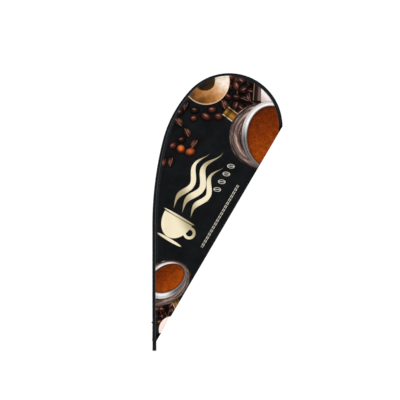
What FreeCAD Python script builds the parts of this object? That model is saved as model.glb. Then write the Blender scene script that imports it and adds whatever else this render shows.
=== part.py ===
"""Teardrop flag without its base: a three-piece tapered mast, bent over at the top by the
tension of the cloth, in a black sleeve that is sewn to a printed panel.

Millimetres, +Z up. The origin is on the mast's axis at the mouth of the spindle bore in its
foot. The flag lies in the XZ plane: the mast rises from the origin, bends over towards +X,
and the free edge runs straight from the mast's tip back down to the mast. +Y is the back.
"""

import FreeCAD, Part
import math
import os

from FreeCAD import Vector

# ---- The mast's centreline, from the foot to the tip -------------------------------------
straight_length = 890.0  # upright stretch, before the bend starts
lower_bend_radius = 2400.0
lower_bend_turn = 13.8  # degrees
shoulder_radius = 815.0
shoulder_turn = 28.0  # degrees
head_radius = 365.0
full_turn = 180.0  # degrees: the tip points straight down
run_out = 90.0  # straight stretch past the end of the bend, where the sleeve is cut off

# ---- Mast sections ----------------------------------------------------------------------
foot_diameter = 28.0
tip_diameter = 9.0
tube_wall = 2.0
joint_below_bend = 10.0  # the lower joint sits this far under the start of the bend
middle_section_length = 940.0
spigot_depth = 80.0  # glued into the section below
spigot_reach = 110.0  # slid into by the section above
spigot_wall = 2.0
spigot_gap = 0.05
band_length = 35.0  # metal band round the butt of each upper section
band_depth = 0.6

# ---- Tip cap ----------------------------------------------------------------------------
tip_setback = 31.0  # from the flag's top corner back to the cap's end, along the mast
cap_wall = 1.0
cap_length = 18.0
cap_end = 2.5
cap_round = 2.0

# ---- Swivel bush in the foot --------------------------------------------------------------
spindle_bore_diameter = 16.2
spindle_bore_depth = 95.0
bush_top_wall = 15.0
bush_flange_height = 3.0
flange_chamfer = 0.6
running_clearance = 0.05
washer_height = 1.0
washer_inset = 0.5  # of its rim, from the tube's outside
washer_bore_gap = 0.15
groove_height = 42.0  # of its middle, above the flange's underside
groove_width = 6.0
groove_share = 0.4  # of the bush's wall
pin_diameter = 4.0
pin_groove_gap = 0.35
pin_recess = 0.2  # of the pin's head, under the tube's surface

# ---- Spring button that locks the sleeve to the mast ---------------------------------------
button_height = 197.0
button_diameter = 8.6
button_stand = 7.5  # how far its head stands out of the mast
button_dome = 2.5
button_hole_gap = 0.2
button_flange_diameter = 12.0
button_flange_height = 1.2
button_flange_gap = 0.2
spring_strip = 0.7
spring_width = 8.0
spring_below = 9.0  # leg below the button's axis
spring_above = 34.0  # leg above the button's axis, up to the bend
spring_gap = 0.1

# ---- Sleeve -------------------------------------------------------------------------------
sleeve_gap = 0.3
sleeve_cloth = 0.5
seam_margin = 1.2  # flat seam between the sleeve and the panel, at the foot
seam_thickness = 1.6
cuff_height = 24.0
eyelet_bore_gap = 0.5
eyelet_rim = 2.7
eyelet_height = 1.6
eyelet_barrel_wall = 0.8

# ---- Panel, hem and patches ---------------------------------------------------------------
tail_height = 66.5  # where the free edge meets the mast
panel_cloth = 0.8
hem_width = 14.0
hem_thickness = 1.8
tail_patch_height = 54.0
patch_thickness = 2.0
tip_patch_depth = 14.0
tip_patch_thickness = 4.0

# ---- Worked out from the sizes above --------------------------------------------------------
foot_radius = foot_diameter / 2
tip_radius = tip_diameter / 2
tube_bore_radius = foot_radius - tube_wall
head_turn = full_turn - lower_bend_turn - shoulder_turn
lower_joint = straight_length - joint_below_bend
upper_joint = lower_joint + middle_section_length
tube_start = bush_flange_height + washer_height + running_clearance
bush_radius = tube_bore_radius - running_clearance
groove_depth = groove_share * (bush_radius - spindle_bore_diameter / 2)
cap_radius = tip_radius + cap_wall
sleeve_foot_radius = foot_radius + sleeve_gap + sleeve_cloth
sleeve_tip_radius = cap_radius + sleeve_gap + sleeve_cloth
seam_offset = sleeve_foot_radius + seam_margin
eyelet_radius = button_diameter / 2 + eyelet_bore_gap + eyelet_rim
eyelet_bore_radius = button_diameter / 2 + eyelet_bore_gap
far = 4 * (straight_length + lower_bend_radius)  # larger than the whole flag

X_AXIS = Vector(1, 0, 0)
Y_AXIS = Vector(0, 1, 0)
Z_AXIS = Vector(0, 0, 1)


# ---- The centreline ---------------------------------------------------------------------------
def heading(turn):
    """Unit vector along the mast once it has turned by this many radians from upright."""
    return Vector(math.sin(turn), 0, math.cos(turn))


def inward(turn):
    """Unit vector to the inside of the bend, square to the heading."""
    return Vector(math.cos(turn), 0, -math.sin(turn))


def make_stretches():
    """The centreline as stretches: start along it, length, radius (None if straight), start
    point and start turn."""
    plan = [
        (straight_length, None),
        (math.radians(lower_bend_turn) * lower_bend_radius, lower_bend_radius),
        (math.radians(shoulder_turn) * shoulder_radius, shoulder_radius),
        (math.radians(head_turn) * head_radius, head_radius),
        (run_out, None),
    ]
    made = []
    start, point, turn = 0.0, Vector(0, 0, 0), 0.0
    for length, radius in plan:
        made.append((start, length, radius, point, turn))
        if radius is None:
            point = point + heading(turn) * length
        else:
            centre = point + inward(turn) * radius
            turn = turn + length / radius
            point = centre - inward(turn) * radius
        start = start + length
    return made


STRETCHES = make_stretches()
mast_end = STRETCHES[-1][0]  # where the bend ends, level with the flag's top corner
cap_tip = mast_end - tip_setback
tip_tube_end = cap_tip - cap_end


def on_stretch(stretch, along, offset):
    """The point at this length along a stretch, moved by offset to the inside of the bend."""
    start, length, radius, point, turn = stretch
    if radius is None:
        return point + heading(turn) * (along - start) + inward(turn) * offset
    now = turn + (along - start) / radius
    return point + inward(turn) * radius - inward(now) * (radius - offset)


def stretch_at(along):
    for stretch in STRETCHES:
        if along <= stretch[0] + stretch[1]:
            return stretch
    return STRETCHES[-1]


def place(along, offset=0.0):
    """The point on the centreline, or beside it, at this length from the foot."""
    return on_stretch(stretch_at(along), along, offset)


def direction(along):
    start, length, radius, point, turn = stretch_at(along)
    if radius is None:
        return heading(turn)
    return heading(turn + (along - start) / radius)


def path(low, high, offset=0.0):
    """The centreline from low to high as edges, moved by offset to the inside of the bend."""
    edges = []
    for stretch in STRETCHES:
        a = max(low, stretch[0])
        b = min(high, stretch[0] + stretch[1])
        if b - a < 1e-6:
            continue
        first, last = on_stretch(stretch, a, offset), on_stretch(stretch, b, offset)
        if stretch[2] is None:
            edges.append(Part.LineSegment(first, last).toShape())
        else:
            middle = on_stretch(stretch, (a + b) / 2, offset)
            edges.append(Part.Arc(first, middle, last).toShape())
    return edges


def mast_radius(along):
    """Outside radius of the mast: even up to the lower joint, then an even taper to the tip."""
    if along <= lower_joint:
        return foot_radius
    share = (along - lower_joint) / (tip_tube_end - lower_joint)
    return foot_radius + share * (tip_radius - foot_radius)


def sleeve_radius(along):
    """Outside radius of the sleeve round the mast, which ends wide enough for the tip cap."""
    if along <= lower_joint:
        return sleeve_foot_radius
    share = (along - lower_joint) / (mast_end - lower_joint)
    return sleeve_foot_radius + share * (sleeve_tip_radius - sleeve_foot_radius)


# ---- Solid makers -------------------------------------------------------------------------------
def disc(along, radius):
    return Part.Wire([Part.Circle(place(along), direction(along), radius).toShape()])


def pipe(low, high, radius_low, radius_high):
    """A round bar along the centreline, with an even taper between two radii."""
    if high <= straight_length and radius_low == radius_high:
        return Part.makeCylinder(radius_low, high - low, place(low))
    spine = Part.Wire(path(low, high))
    ends = [disc(low, radius_low), disc(high, radius_high)]
    return spine.makePipeShell(ends, True, False)


def tapered_bar(low, high, radius_of):
    """A bar along the centreline whose radius follows radius_of, which bends only at the
    lower joint."""
    if low < lower_joint < high:
        parts = [(low, lower_joint), (lower_joint, high)]
    else:
        parts = [(low, high)]
    bars = [pipe(a, b, radius_of(a), radius_of(b)) for a, b in parts]
    whole = bars[0]
    for bar in bars[1:]:
        whole = whole.fuse(bar)
    return whole


def along_y(points_or_edges, thickness):
    """A flat plate of even thickness, centred on the flag's plane."""
    face = Part.Face(Part.Wire(points_or_edges))
    face.translate(Vector(0, -thickness / 2, 0))
    return face.extrude(Vector(0, thickness, 0))


def polygon(points):
    return Part.makePolygon(points + [points[0]]).Edges


def ring(radius_out, radius_in, low, high):
    """A ring round the foot's axis."""
    outer = Part.makeCylinder(radius_out, high - low, Vector(0, 0, low))
    inner = Part.makeCylinder(radius_in, high - low, Vector(0, 0, low))
    return outer.cut(inner)


def rod_x(radius, x_low, x_high, height):
    return Part.makeCylinder(radius, x_high - x_low, Vector(x_low, 0, height), X_AXIS)


# ---- The free edge ---------------------------------------------------------------------------------
tip_corner = place(mast_end, -sleeve_tip_radius)
tail_corner = Vector(foot_radius, 0, tail_height)
edge_run = (tip_corner - tail_corner).normalize()
edge_in = Vector(-edge_run.z, 0, edge_run.x)  # into the flag, square to the free edge


def beyond(distance, thickness=4 * foot_diameter):
    """Everything on the flag's side of a line parallel to the free edge, this far in."""
    a = tail_corner + edge_in * distance - edge_run * far
    b = tail_corner + edge_in * distance + edge_run * far
    return along_y(polygon([a, b, b + edge_in * far, a + edge_in * far]), thickness)


def above(height, thickness=4 * foot_diameter):
    a, b = Vector(-far, 0, height), Vector(far, 0, height)
    return along_y(polygon([a, b, b + Z_AXIS * far, a + Z_AXIS * far]), thickness)


def inside_seam(thickness):
    """The plate that the seam line encloses, closed by a chord that lies past the free edge."""
    edges = path(0, mast_end + run_out, seam_offset)
    first, last = place(0, seam_offset), place(mast_end + run_out, seam_offset)
    edges.append(Part.LineSegment(last, first).toShape())
    return along_y(edges, thickness)


# ---- The foot ----------------------------------------------------------------------------------------
def swivel_bush():
    """Plastic bush that stays on the spindle, while the mast turns round it."""
    height = spindle_bore_depth + bush_top_wall
    body = Part.makeCylinder(bush_radius, height)
    flange = Part.makeCylinder(foot_radius, bush_flange_height)
    rims = [e for e in flange.Edges if isinstance(e.Curve, Part.Circle) and e.Closed]
    flange = flange.makeChamfer(flange_chamfer, rims)
    groove_low = groove_height - groove_width / 2
    groove = ring(
        bush_radius + tube_wall,
        bush_radius - groove_depth,
        groove_low,
        groove_low + groove_width,
    )
    bore = Part.makeCylinder(spindle_bore_diameter / 2, spindle_bore_depth)
    return body.fuse(flange).removeSplitter().cut(groove).cut(bore)


def thrust_washer():
    low = bush_flange_height
    return ring(
        foot_radius - washer_inset, bush_radius + washer_bore_gap, low, low + washer_height
    )


def pin_bars():
    """The two retaining pins, through the tube's wall at the front and back."""
    inner = bush_radius - groove_depth + pin_groove_gap
    length = foot_radius - pin_recess - inner
    bars = []
    for side in (-1, 1):
        start = Vector(0, side * inner, groove_height)
        bars.append(Part.makeCylinder(pin_diameter / 2, length, start, Y_AXIS * side))
    return bars


def bush_retaining_pins():
    return Part.makeCompound(pin_bars())


# ---- Mast sections -------------------------------------------------------------------------------------
def tube(low, high):
    """A mast section: the tapered outside, less a bore that keeps the wall even."""
    outer = tapered_bar(low, high, mast_radius)
    inner = tapered_bar(low, high, lambda s: mast_radius(s) - tube_wall)
    return outer.cut(inner)


def spigot(joint):
    """A hollow plug across a joint, tapered to fill the bores of both sections."""
    low, high = joint - spigot_depth, joint + spigot_reach

    def outside(s):
        return mast_radius(s) - tube_wall - spigot_gap

    bar = tapered_bar(low, high, outside)
    bore = tapered_bar(low, high, lambda s: outside(s) - spigot_wall)
    return bar.cut(bore)


def joint_band(joint):
    """A band set flush into the butt of the section above a joint, so that it can't split."""
    low, high = joint, joint + band_length
    outer = tapered_bar(low, high, mast_radius)
    inner = tapered_bar(low, high, lambda s: mast_radius(s) - band_depth)
    return outer.cut(inner)


def lower_tube():
    shape = tube(tube_start, lower_joint)
    hole_radius = button_diameter / 2 + button_hole_gap
    hole = rod_x(hole_radius, -2 * foot_radius, 0, button_height)
    shape = shape.cut(hole)
    for side in (-1, 1):
        start = Vector(0, 0, groove_height)
        pin_hole = Part.makeCylinder(pin_diameter / 2, foot_diameter, start, Y_AXIS * side)
        shape = shape.cut(pin_hole)
    return shape


def lower_spigot():
    return spigot(lower_joint)


def lower_joint_band():
    return joint_band(lower_joint)


def middle_tube():
    return tube(lower_joint, upper_joint).cut(lower_joint_band())


def upper_spigot():
    return spigot(upper_joint)


def upper_joint_band():
    return joint_band(upper_joint)


def tip_tube():
    return tube(upper_joint, tip_tube_end).cut(upper_joint_band())


def tip_cap():
    """Rubber thimble over the mast's end, rounded so that it can't cut through the cloth."""
    low = cap_tip - cap_length
    outer = pipe(low, cap_tip, cap_radius, cap_radius)
    end = place(cap_tip)
    rims = [e for e in outer.Edges if (e.CenterOfMass - end).Length < cap_radius / 2]
    outer = outer.makeFillet(cap_round, rims)
    socket = pipe(low, tip_tube_end, mast_radius(low), mast_radius(tip_tube_end))
    return outer.cut(socket)


# ---- Spring button -----------------------------------------------------------------------------------------
button_flange_face = -math.sqrt(tube_bore_radius**2 - (button_flange_diameter / 2) ** 2)
button_back = button_flange_face + button_flange_gap + button_flange_height


def lock_button():
    """Round button with a domed head, and a flange that stops against the tube's bore."""
    front = -foot_radius - button_stand
    head = rod_x(button_diameter / 2, front, button_back, button_height)
    rims = [e for e in head.Edges if e.CenterOfMass.x < front + 1e-6]
    head = head.makeFillet(button_dome, rims)
    flange_front = button_back - button_flange_height
    flange = rod_x(button_flange_diameter / 2, flange_front, button_back, button_height)
    return head.fuse(flange).removeSplitter()


def button_spring():
    """U of spring strip inside the tube: one leg behind the button, one on the far wall."""
    half = spring_width / 2
    near = button_back + spring_gap
    wall = math.sqrt(tube_bore_radius**2 - half**2) - spring_gap
    low, bend = button_height - spring_below, button_height + spring_above
    middle, outer_radius = (near + wall) / 2, (wall - near) / 2
    inner_radius = outer_radius - spring_strip
    edges = []
    for radius in (outer_radius, inner_radius):
        left, right = Vector(middle - radius, 0, bend), Vector(middle + radius, 0, bend)
        crown = Vector(middle, 0, bend + radius)
        foot_left, foot_right = Vector(left.x, 0, low), Vector(right.x, 0, low)
        edges.append(Part.LineSegment(foot_left, left).toShape())
        edges.append(Part.Arc(left, crown, right).toShape())
        edges.append(Part.LineSegment(right, foot_right).toShape())
    for x in (near, wall):
        inner = x + spring_strip if x == near else x - spring_strip
        edges.append(Part.LineSegment(Vector(x, 0, low), Vector(inner, 0, low)).toShape())
    return along_y(Part.__sortEdges__(edges), spring_width)


# ---- Sleeve --------------------------------------------------------------------------------------------------
def sleeve_shell(low, high):
    """The cloth tube round the mast, with the flat seam on its inner side."""
    outer = tapered_bar(low, high, sleeve_radius)
    edges = path(low, high) + path(low, high, seam_offset)
    edges.append(Part.LineSegment(place(low), place(low, seam_offset)).toShape())
    edges.append(Part.LineSegment(place(high), place(high, seam_offset)).toShape())
    seam = along_y(Part.__sortEdges__(edges), seam_thickness)
    bore = tapered_bar(low, high, lambda s: sleeve_radius(s) - sleeve_cloth)
    return outer.fuse(seam).cut(bore)


def pole_sleeve():
    cuff_top = tail_height + cuff_height
    shell = sleeve_shell(cuff_top, mast_end + run_out).common(beyond(tip_patch_depth))
    barrel = rod_x(
        eyelet_bore_radius + eyelet_barrel_wall, -2 * foot_radius, 0, button_height
    )
    return shell.cut(barrel)


def sleeve_cuff():
    return sleeve_shell(tail_height, tail_height + cuff_height)


def sleeve_eyelet():
    """Eyelet round the button: a rim that lies on the sleeve and a barrel through its cloth."""
    rim_front = -sleeve_foot_radius - eyelet_height
    rim = rod_x(eyelet_radius, rim_front, 0, button_height)
    sleeve_bar = Part.makeCylinder(sleeve_foot_radius, far, Vector(0, 0, -far / 2))
    rim = rim.cut(sleeve_bar)
    barrel_radius = eyelet_bore_radius + eyelet_barrel_wall
    barrel = rod_x(barrel_radius, rim_front, 0, button_height)
    inside = sleeve_foot_radius - sleeve_cloth
    barrel = barrel.cut(Part.makeCylinder(inside, far, Vector(0, 0, -far / 2)))
    bore = rod_x(eyelet_bore_radius, 2 * rim_front, 0, button_height)
    return rim.fuse(barrel).removeSplitter().cut(bore)


# ---- Panel, hem and patches --------------------------------------------------------------------------------------
def printed_panel():
    """The printed cloth, from the seam line to the hem and down to the tail patch."""
    plate = inside_seam(panel_cloth).common(beyond(hem_width))
    return plate.common(above(tail_height + tail_patch_height))


def free_edge_hem():
    plate = inside_seam(hem_thickness).common(beyond(0)).cut(beyond(hem_width))
    return plate.common(above(tail_height + tail_patch_height))


def tail_patch():
    plate = inside_seam(patch_thickness).common(beyond(0))
    return plate.cut(above(tail_height + tail_patch_height))


def tip_patch():
    """Flat webbing that closes the sleeve's end and takes the push of the mast's tip."""
    low, high = mast_end - run_out, mast_end + run_out
    edges = path(low, high, -sleeve_tip_radius) + path(low, high, seam_offset)
    for end in (low, high):
        across = Part.LineSegment(place(end, -sleeve_tip_radius), place(end, seam_offset))
        edges.append(across.toShape())
    plate = along_y(Part.__sortEdges__(edges), tip_patch_thickness)
    return plate.common(beyond(0)).cut(beyond(tip_patch_depth))


NODES = (
    swivel_bush,
    thrust_washer,
    bush_retaining_pins,
    lower_tube,
    lower_spigot,
    lower_joint_band,
    middle_tube,
    upper_spigot,
    upper_joint_band,
    tip_tube,
    tip_cap,
    lock_button,
    button_spring,
    pole_sleeve,
    sleeve_cuff,
    sleeve_eyelet,
    printed_panel,
    free_edge_hem,
    tail_patch,
    tip_patch,
)


def main():
    os.makedirs("parts", exist_ok=True)
    for make in NODES:
        shape = make()
        solids = shape.Solids
        if not solids or not all(s.isValid() and s.Volume > 0 for s in solids):
            raise RuntimeError(f"{make.__name__} did not make valid solids")
        kept = solids[0] if len(solids) == 1 else Part.makeCompound(solids)
        kept.exportStep(f"parts/{make.__name__}.step")
        box = kept.BoundBox
        print(
            f"{make.__name__:20s} solids {len(solids)}  volume {kept.Volume:11.1f} mm3"
            f"  x {box.XMin:7.1f}..{box.XMax:6.1f}  z {box.ZMin:7.1f}..{box.ZMax:7.1f}"
        )


main()
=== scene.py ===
# %% [markdown]
# # A teardrop flag
#
# A teardrop flag is a tapered mast in three sections, bent right over at the top by the pull
# of its cloth. The CAD frame holds the mast, the fits and the swivel in the foot. Here the
# cloth is made over that frame: a black sleeve round the mast, the printed panel, its hem and
# the patches in its two corners. The print is worked out by formula in shader nodes.

# %% Load the frame
import math

import bpy
import numpy as np
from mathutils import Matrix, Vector


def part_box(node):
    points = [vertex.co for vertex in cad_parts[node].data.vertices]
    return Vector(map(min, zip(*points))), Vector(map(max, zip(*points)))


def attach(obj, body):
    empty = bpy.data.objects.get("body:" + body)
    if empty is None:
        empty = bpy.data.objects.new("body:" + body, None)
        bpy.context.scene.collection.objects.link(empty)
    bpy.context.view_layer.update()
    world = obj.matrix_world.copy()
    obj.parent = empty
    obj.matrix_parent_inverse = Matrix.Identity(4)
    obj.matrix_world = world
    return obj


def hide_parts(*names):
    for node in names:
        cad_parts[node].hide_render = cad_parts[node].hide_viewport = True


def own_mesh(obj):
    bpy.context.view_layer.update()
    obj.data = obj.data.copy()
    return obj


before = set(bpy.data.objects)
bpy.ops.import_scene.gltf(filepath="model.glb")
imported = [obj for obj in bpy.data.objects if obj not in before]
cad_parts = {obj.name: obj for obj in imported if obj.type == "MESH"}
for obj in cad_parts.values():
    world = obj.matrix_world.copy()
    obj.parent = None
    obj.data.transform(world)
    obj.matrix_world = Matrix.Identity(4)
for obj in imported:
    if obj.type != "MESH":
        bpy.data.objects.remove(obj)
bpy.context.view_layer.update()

# %% [markdown]
# ## The mast's centreline
#
# Every piece of cloth follows the mast, so the mast's line is worked out once. It is an
# upright stretch and three arcs that tighten towards the head, each tangent to the last, and
# it ends pointing straight down. It could be a curve object with a few handles, but arcs give
# a point, a direction and a length by formula. A point on it is given by its length along
# the mast.

# %% Centreline
# The upright's length, and then each bend's turn and radius.
BENDS = [
    (0.890, None),
    (math.radians(13.8), 2.400),
    (math.radians(28.0), 0.815),
    (math.radians(138.2), 0.365),
]
MAST_END = sum(size if radius is None else size * radius for size, radius in BENDS)


def centreline(along):
    """The mast's line: for lengths along it, the point (x, z) and the turn from upright.
    Each bend adds its part of the turn, and on a bend of radius r that starts at turn t, the
    point moves by r (cos t - cos now) in x and r (sin now - sin t) in z."""
    along = np.asarray(along, float)
    x, z, turn = np.zeros_like(along), np.zeros_like(along), np.zeros_like(along)
    start, start_turn = 0.0, 0.0
    for size, radius in BENDS:
        length = size if radius is None else size * radius
        here = np.clip(along - start, 0, length)
        if radius is None:
            z = z + here
        else:
            now = start_turn + here / radius
            x = x + radius * (np.cos(start_turn) - np.cos(now))
            z = z + radius * (np.sin(now) - np.sin(start_turn))
            turn = turn + here / radius
            start_turn += size
        start += length
    past = np.clip(along - MAST_END, 0, None)
    return x, z - past, turn


def beside(along, inward):
    """Points (x, z) at a distance from the mast's line, towards the inside of its bend."""
    x, z, turn = centreline(along)
    return x + inward * np.cos(turn), z - inward * np.sin(turn)


top_z = centreline(np.linspace(0, MAST_END, 500))[1].max()
print("mast", round(MAST_END, 4), "m long, its line tops out at", round(top_z, 4))

# %% [markdown]
# ## Sizes taken from the frame
#
# The sleeve's width, the seam and the height of the tail come from the CAD nodes' boxes, so
# the cloth stays where the frame holds it. Three sizes that no box shows are stated: the
# sleeve's radius at the tip, the hem's width and the tube's radius.

# %% Sizes from the frame
cuff_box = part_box("sleeve_cuff")
panel_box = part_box("printed_panel")
SLEEVE_FOOT_RADIUS = -cuff_box[0][0]
SEAM = cuff_box[1][0]  # the seam's distance from the mast's line
TAIL_Z = cuff_box[0][2]
CUFF_TOP = cuff_box[1][2]
PATCH_TOP = panel_box[0][2]
TAPER_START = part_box("lower_tube")[1][2]
SLEEVE_TIP_RADIUS = 0.0063
HEM = 0.014  # the hem's width
TUBE_RADIUS = 0.0140
edge_low = np.array([TUBE_RADIUS, TAIL_Z])
edge_high = np.array(beside(MAST_END, -SLEEVE_TIP_RADIUS)).ravel()
EDGE_RUN = (edge_high - edge_low) / np.linalg.norm(edge_high - edge_low)
print("free edge", edge_low.round(4), "to", edge_high.round(4))


def sleeve_radius(along):
    """The sleeve's radius: even up to the lower joint, then an even taper to the tip."""
    share = np.clip((along - TAPER_START) / (MAST_END - TAPER_START), 0, 1)
    return SLEEVE_FOOT_RADIUS + share * (SLEEVE_TIP_RADIUS - SLEEVE_FOOT_RADIUS)


# %% [markdown]
# ## From a grid of points to a mesh
#
# Each new piece is a surface over two parameters. It could be modelled by hand from a
# primitive, but a formula keeps to the frame when a size changes. The points come as one
# array, rows by columns, and these helpers join neighbours into four-sided faces.

# %% Mesh helper
def grid_of(rows, columns):
    """Two arrays, rows by columns: each point's row value and its column value."""
    return np.meshgrid(rows, columns, indexing="ij")


def grid_faces(rows, columns, loop=False, loop_rows=False):
    """Faces between neighbours in a grid of points, as rows of four point numbers. With loop
    the last column joins the first, and with loop_rows the last row joins the first."""
    down = rows if loop_rows else rows - 1
    across = columns if loop else columns - 1
    row, column = grid_of(np.arange(down), np.arange(across))
    below, beyond = (row + 1) % rows, (column + 1) % columns
    corners = [(row, column), (row, beyond), (below, beyond), (below, column)]
    return np.stack([y * columns + x for y, x in corners], axis=-1).reshape(-1, 4)


def make_piece(name, points, faces, body="mast"):
    """A mesh object from arrays of points and faces, which rides on a body."""
    mesh = bpy.data.meshes.new(name)
    mesh.from_pydata(points.reshape(-1, 3), [], faces.tolist())
    mesh.validate()
    mesh.shade_smooth()
    piece = bpy.data.objects.new(name, mesh)
    bpy.context.scene.collection.objects.link(piece)
    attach(piece, body)
    print(name, len(mesh.vertices), "points", len(mesh.polygons), "faces")
    return piece


def add_values(piece, name, values):
    """Stores one number for each point, for a material to read."""
    attribute = piece.data.attributes.new(name, "FLOAT", "POINT")
    attribute.data.foreach_set("value", np.ascontiguousarray(values, np.float32).ravel())


def ease(value):
    """Runs smoothly from 0 to 1 as the value does: three squares less two cubes."""
    value = np.clip(value, 0, 1)
    return value * value * (3 - 2 * value)


# %% [markdown]
# ## The cloth sheet
#
# The panel is one knitted polyester sheet, stretched between the seam and the free edge. It
# could be a flat plate, but real cloth never is: it billows a little between its edges, and
# folds run out from the corners where it is pulled. The sheet is a ruled surface: each row
# runs straight from a point on the seam to a point on the free edge, and the billow and the
# folds move it in Y only, so the outline stays true.

# %% Sheet
SWELL = 0.008  # how far the middle of the sheet stands out
SEAM_HOLDS, SWELL_GROWS = 0.030, 0.10  # flat beside the seam, then growing over this width


def sheet_ends(share):
    """For each share of the way up the sheet, its points on the seam and on the free edge.
    Those on the edge are spread by a power of the share, so that the rows fan out evenly."""
    low = TAIL_Z + (SEAM - TUBE_RADIUS) * EDGE_RUN[1] / EDGE_RUN[0]
    high = MAST_END + (SLEEVE_TIP_RADIUS + SEAM) * EDGE_RUN[1] / EDGE_RUN[0]
    x, z = beside(low + share * (high - low), SEAM)
    first = np.array(beside(low, SEAM)).ravel()
    last = np.array(beside(high, SEAM)).ravel()
    eased = share**1.15
    edge = first + eased[..., None] * (last - first)
    return np.stack([x, z], axis=-1), edge


def billow(x, z):
    """How far the sheet stands out of its plane: a broad swell, half a sine wave from foot to
    head, and shallow folds that fan out from the tail and from the tip. The folds are waves
    in the angle about their corner, and fade by a bell curve in the distance from it."""
    from_tail = np.arctan2(x - edge_low[0], z - edge_low[1])
    reach_tail = np.hypot(x - edge_low[0], z - edge_low[1])
    from_tip = np.arctan2(z - edge_high[1], edge_high[0] - x)
    reach_tip = np.hypot(z - edge_high[1], edge_high[0] - x)
    swell = SWELL * np.sin(np.pi * np.clip((z - 0.1) / 1.8, 0, 1))
    tail_folds = 0.0022 * np.sin(34 * from_tail) * np.exp(-(((reach_tail - 0.55) / 0.4) ** 2))
    tip_folds = 0.0018 * np.sin(19 * from_tip + 0.7) * np.exp(-(((reach_tip - 0.3) / 0.26) ** 2))
    return swell + tail_folds + tip_folds


def sheet_point(across, share):
    """Points (x, y, z) of the sheet: across runs from the seam, 0, to the free edge, 1, and
    share runs from the tail to the tip."""
    seam, edge = sheet_ends(share)
    flat = seam + across[..., None] * (edge - seam)
    from_seam = across * np.linalg.norm(edge - seam, axis=-1)
    y = billow(flat[..., 0], flat[..., 1]) * ease((from_seam - SEAM_HOLDS) / SWELL_GROWS)
    return np.stack([flat[..., 0], y, flat[..., 1]], axis=-1)


PANEL_ROWS, PANEL_COLUMNS = 300, 110
END_GAP = 0.004  # share left out at either end, where the rows shrink to a point
share, across = grid_of(np.linspace(END_GAP, 1 - END_GAP, PANEL_ROWS), np.linspace(0, 1, PANEL_COLUMNS))
panel_points = sheet_point(across, share)
panel = make_piece("printed_cloth", panel_points, grid_faces(PANEL_ROWS, PANEL_COLUMNS))

# %% [markdown]
# ## The sleeve
#
# The sleeve is a loop of cloth round the mast, whose two edges are sewn to the panel between
# them. A plain pipe would look like metal. Here a profile is carried along the mast: flat
# flanges either side of the panel, then a straight pull to the mast, then round it. Puckers
# from the stitching swell it a little, and fade out by the eyelet and at the tip.

# %% Sleeve
FLANGE = 0.008  # width of the flat seam
FLANGE_LIFT = 0.0010  # of the flat seam, out of the flag's plane
FLAT_SHARE = 0.10  # of the way around, flat along the seam at either end
PULL_SHARE = 0.12  # of the way around, straight from the seam to the mast
PUCKER = 0.00018  # height of one wave of puckers


def sleeve_profile(around, radius):
    """The sleeve's section at a radius: for shares of the way around, the distance inward
    from the mast's line and the height out of the flag's plane. The pull is the tangent from
    the seam to the circle, which meets it where the cosine is radius over seam distance."""
    half = 1 - np.abs(2 * around - 1)  # 0 at either flange, 1 on the mast's outer side
    side = np.sign(2 * around - 1)
    meet = np.arccos(np.clip(radius / SEAM, -1, 1))
    flat, pull = 2 * FLAT_SHARE, 2 * (FLAT_SHARE + PULL_SHARE)
    on_pull = np.clip((half - flat) / (pull - flat), 0, 1)
    angle = meet + np.clip((half - pull) / (1 - pull), 0, 1) * (np.pi - meet)
    inward_flat = SEAM + FLANGE * (1 - np.clip(half / flat, 0, 1))
    inward_pull = SEAM + on_pull * (radius * np.cos(meet) - SEAM)
    lift_pull = FLANGE_LIFT + on_pull * (radius * np.sin(meet) - FLANGE_LIFT)
    parts = [half < flat, half < pull]
    inward = np.select(parts, [inward_flat, inward_pull], radius * np.cos(angle))
    lift = np.select(parts, [FLANGE_LIFT + 0 * half, lift_pull], radius * np.sin(angle))
    return inward, side * lift


def puckers(along, around):
    """Small lifts in the cloth: sums of waves at lengths that never fall into step."""
    waves = np.sin(along * 210) + 0.6 * np.sin(along * 337 + 1.3) + 0.5 * np.sin(along * 91 + around * 9)
    return PUCKER * (waves + 2.1)


def tip_cut(inward, back=0.0):
    """Length along the mast where the sleeve's end is cut parallel to the free edge: it
    grows with the distance inward by the edge's slope. Back is how far inside the edge."""
    slope = EDGE_RUN[1] / EDGE_RUN[0]
    return MAST_END + slope * (SLEEVE_TIP_RADIUS + inward) - back / EDGE_RUN[0]


def sleeve_rows():
    """Shares of the way up the sleeve, closer together round the eyelet's hole."""
    even = np.linspace(0, 1, EVEN_ROWS)
    hole = (BUTTON_Z - SLEEVE_LOW) / (MAST_END - SLEEVE_LOW)
    close = np.linspace(hole - 0.005, hole + 0.005, CLOSE_ROWS)
    return np.sort(np.concatenate([even[np.abs(even - hole) > 0.0052], close]))


SLEEVE_LOW = CUFF_TOP - 0.006  # the sleeve starts inside its cuff
SLEEVE_COLUMNS, EVEN_ROWS, CLOSE_ROWS = 97, 560, 28
BUTTON_Z = (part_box("lock_button")[0][2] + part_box("lock_button")[1][2]) / 2
HOLE = 0.0060  # radius of the hole under the eyelet
share, around = grid_of(sleeve_rows(), np.linspace(0, 1, SLEEVE_COLUMNS))
rough_along = SLEEVE_LOW + share * (MAST_END - SLEEVE_LOW)
inward, lift = sleeve_profile(around, sleeve_radius(rough_along))
along = SLEEVE_LOW + share * (tip_cut(inward, HEM - 0.004) - SLEEVE_LOW)
smooth_parts = ease((np.abs(along - BUTTON_Z) - 0.012) / 0.02) * ease((MAST_END - along - 0.01) / 0.04)
inward, lift = sleeve_profile(around, sleeve_radius(along) + puckers(along, around) * smooth_parts)
x, z = beside(along, inward)
sleeve_points = np.stack([x, lift, z], axis=-1)
faces = grid_faces(len(share), SLEEVE_COLUMNS)
middles = sleeve_points.reshape(-1, 3)[faces].mean(axis=1)
in_hole = (middles[:, 0] < 0) & (np.hypot(middles[:, 1], middles[:, 2] - BUTTON_Z) < HOLE)
sleeve = make_piece("mast_sleeve", sleeve_points, faces[~in_hole])
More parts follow.
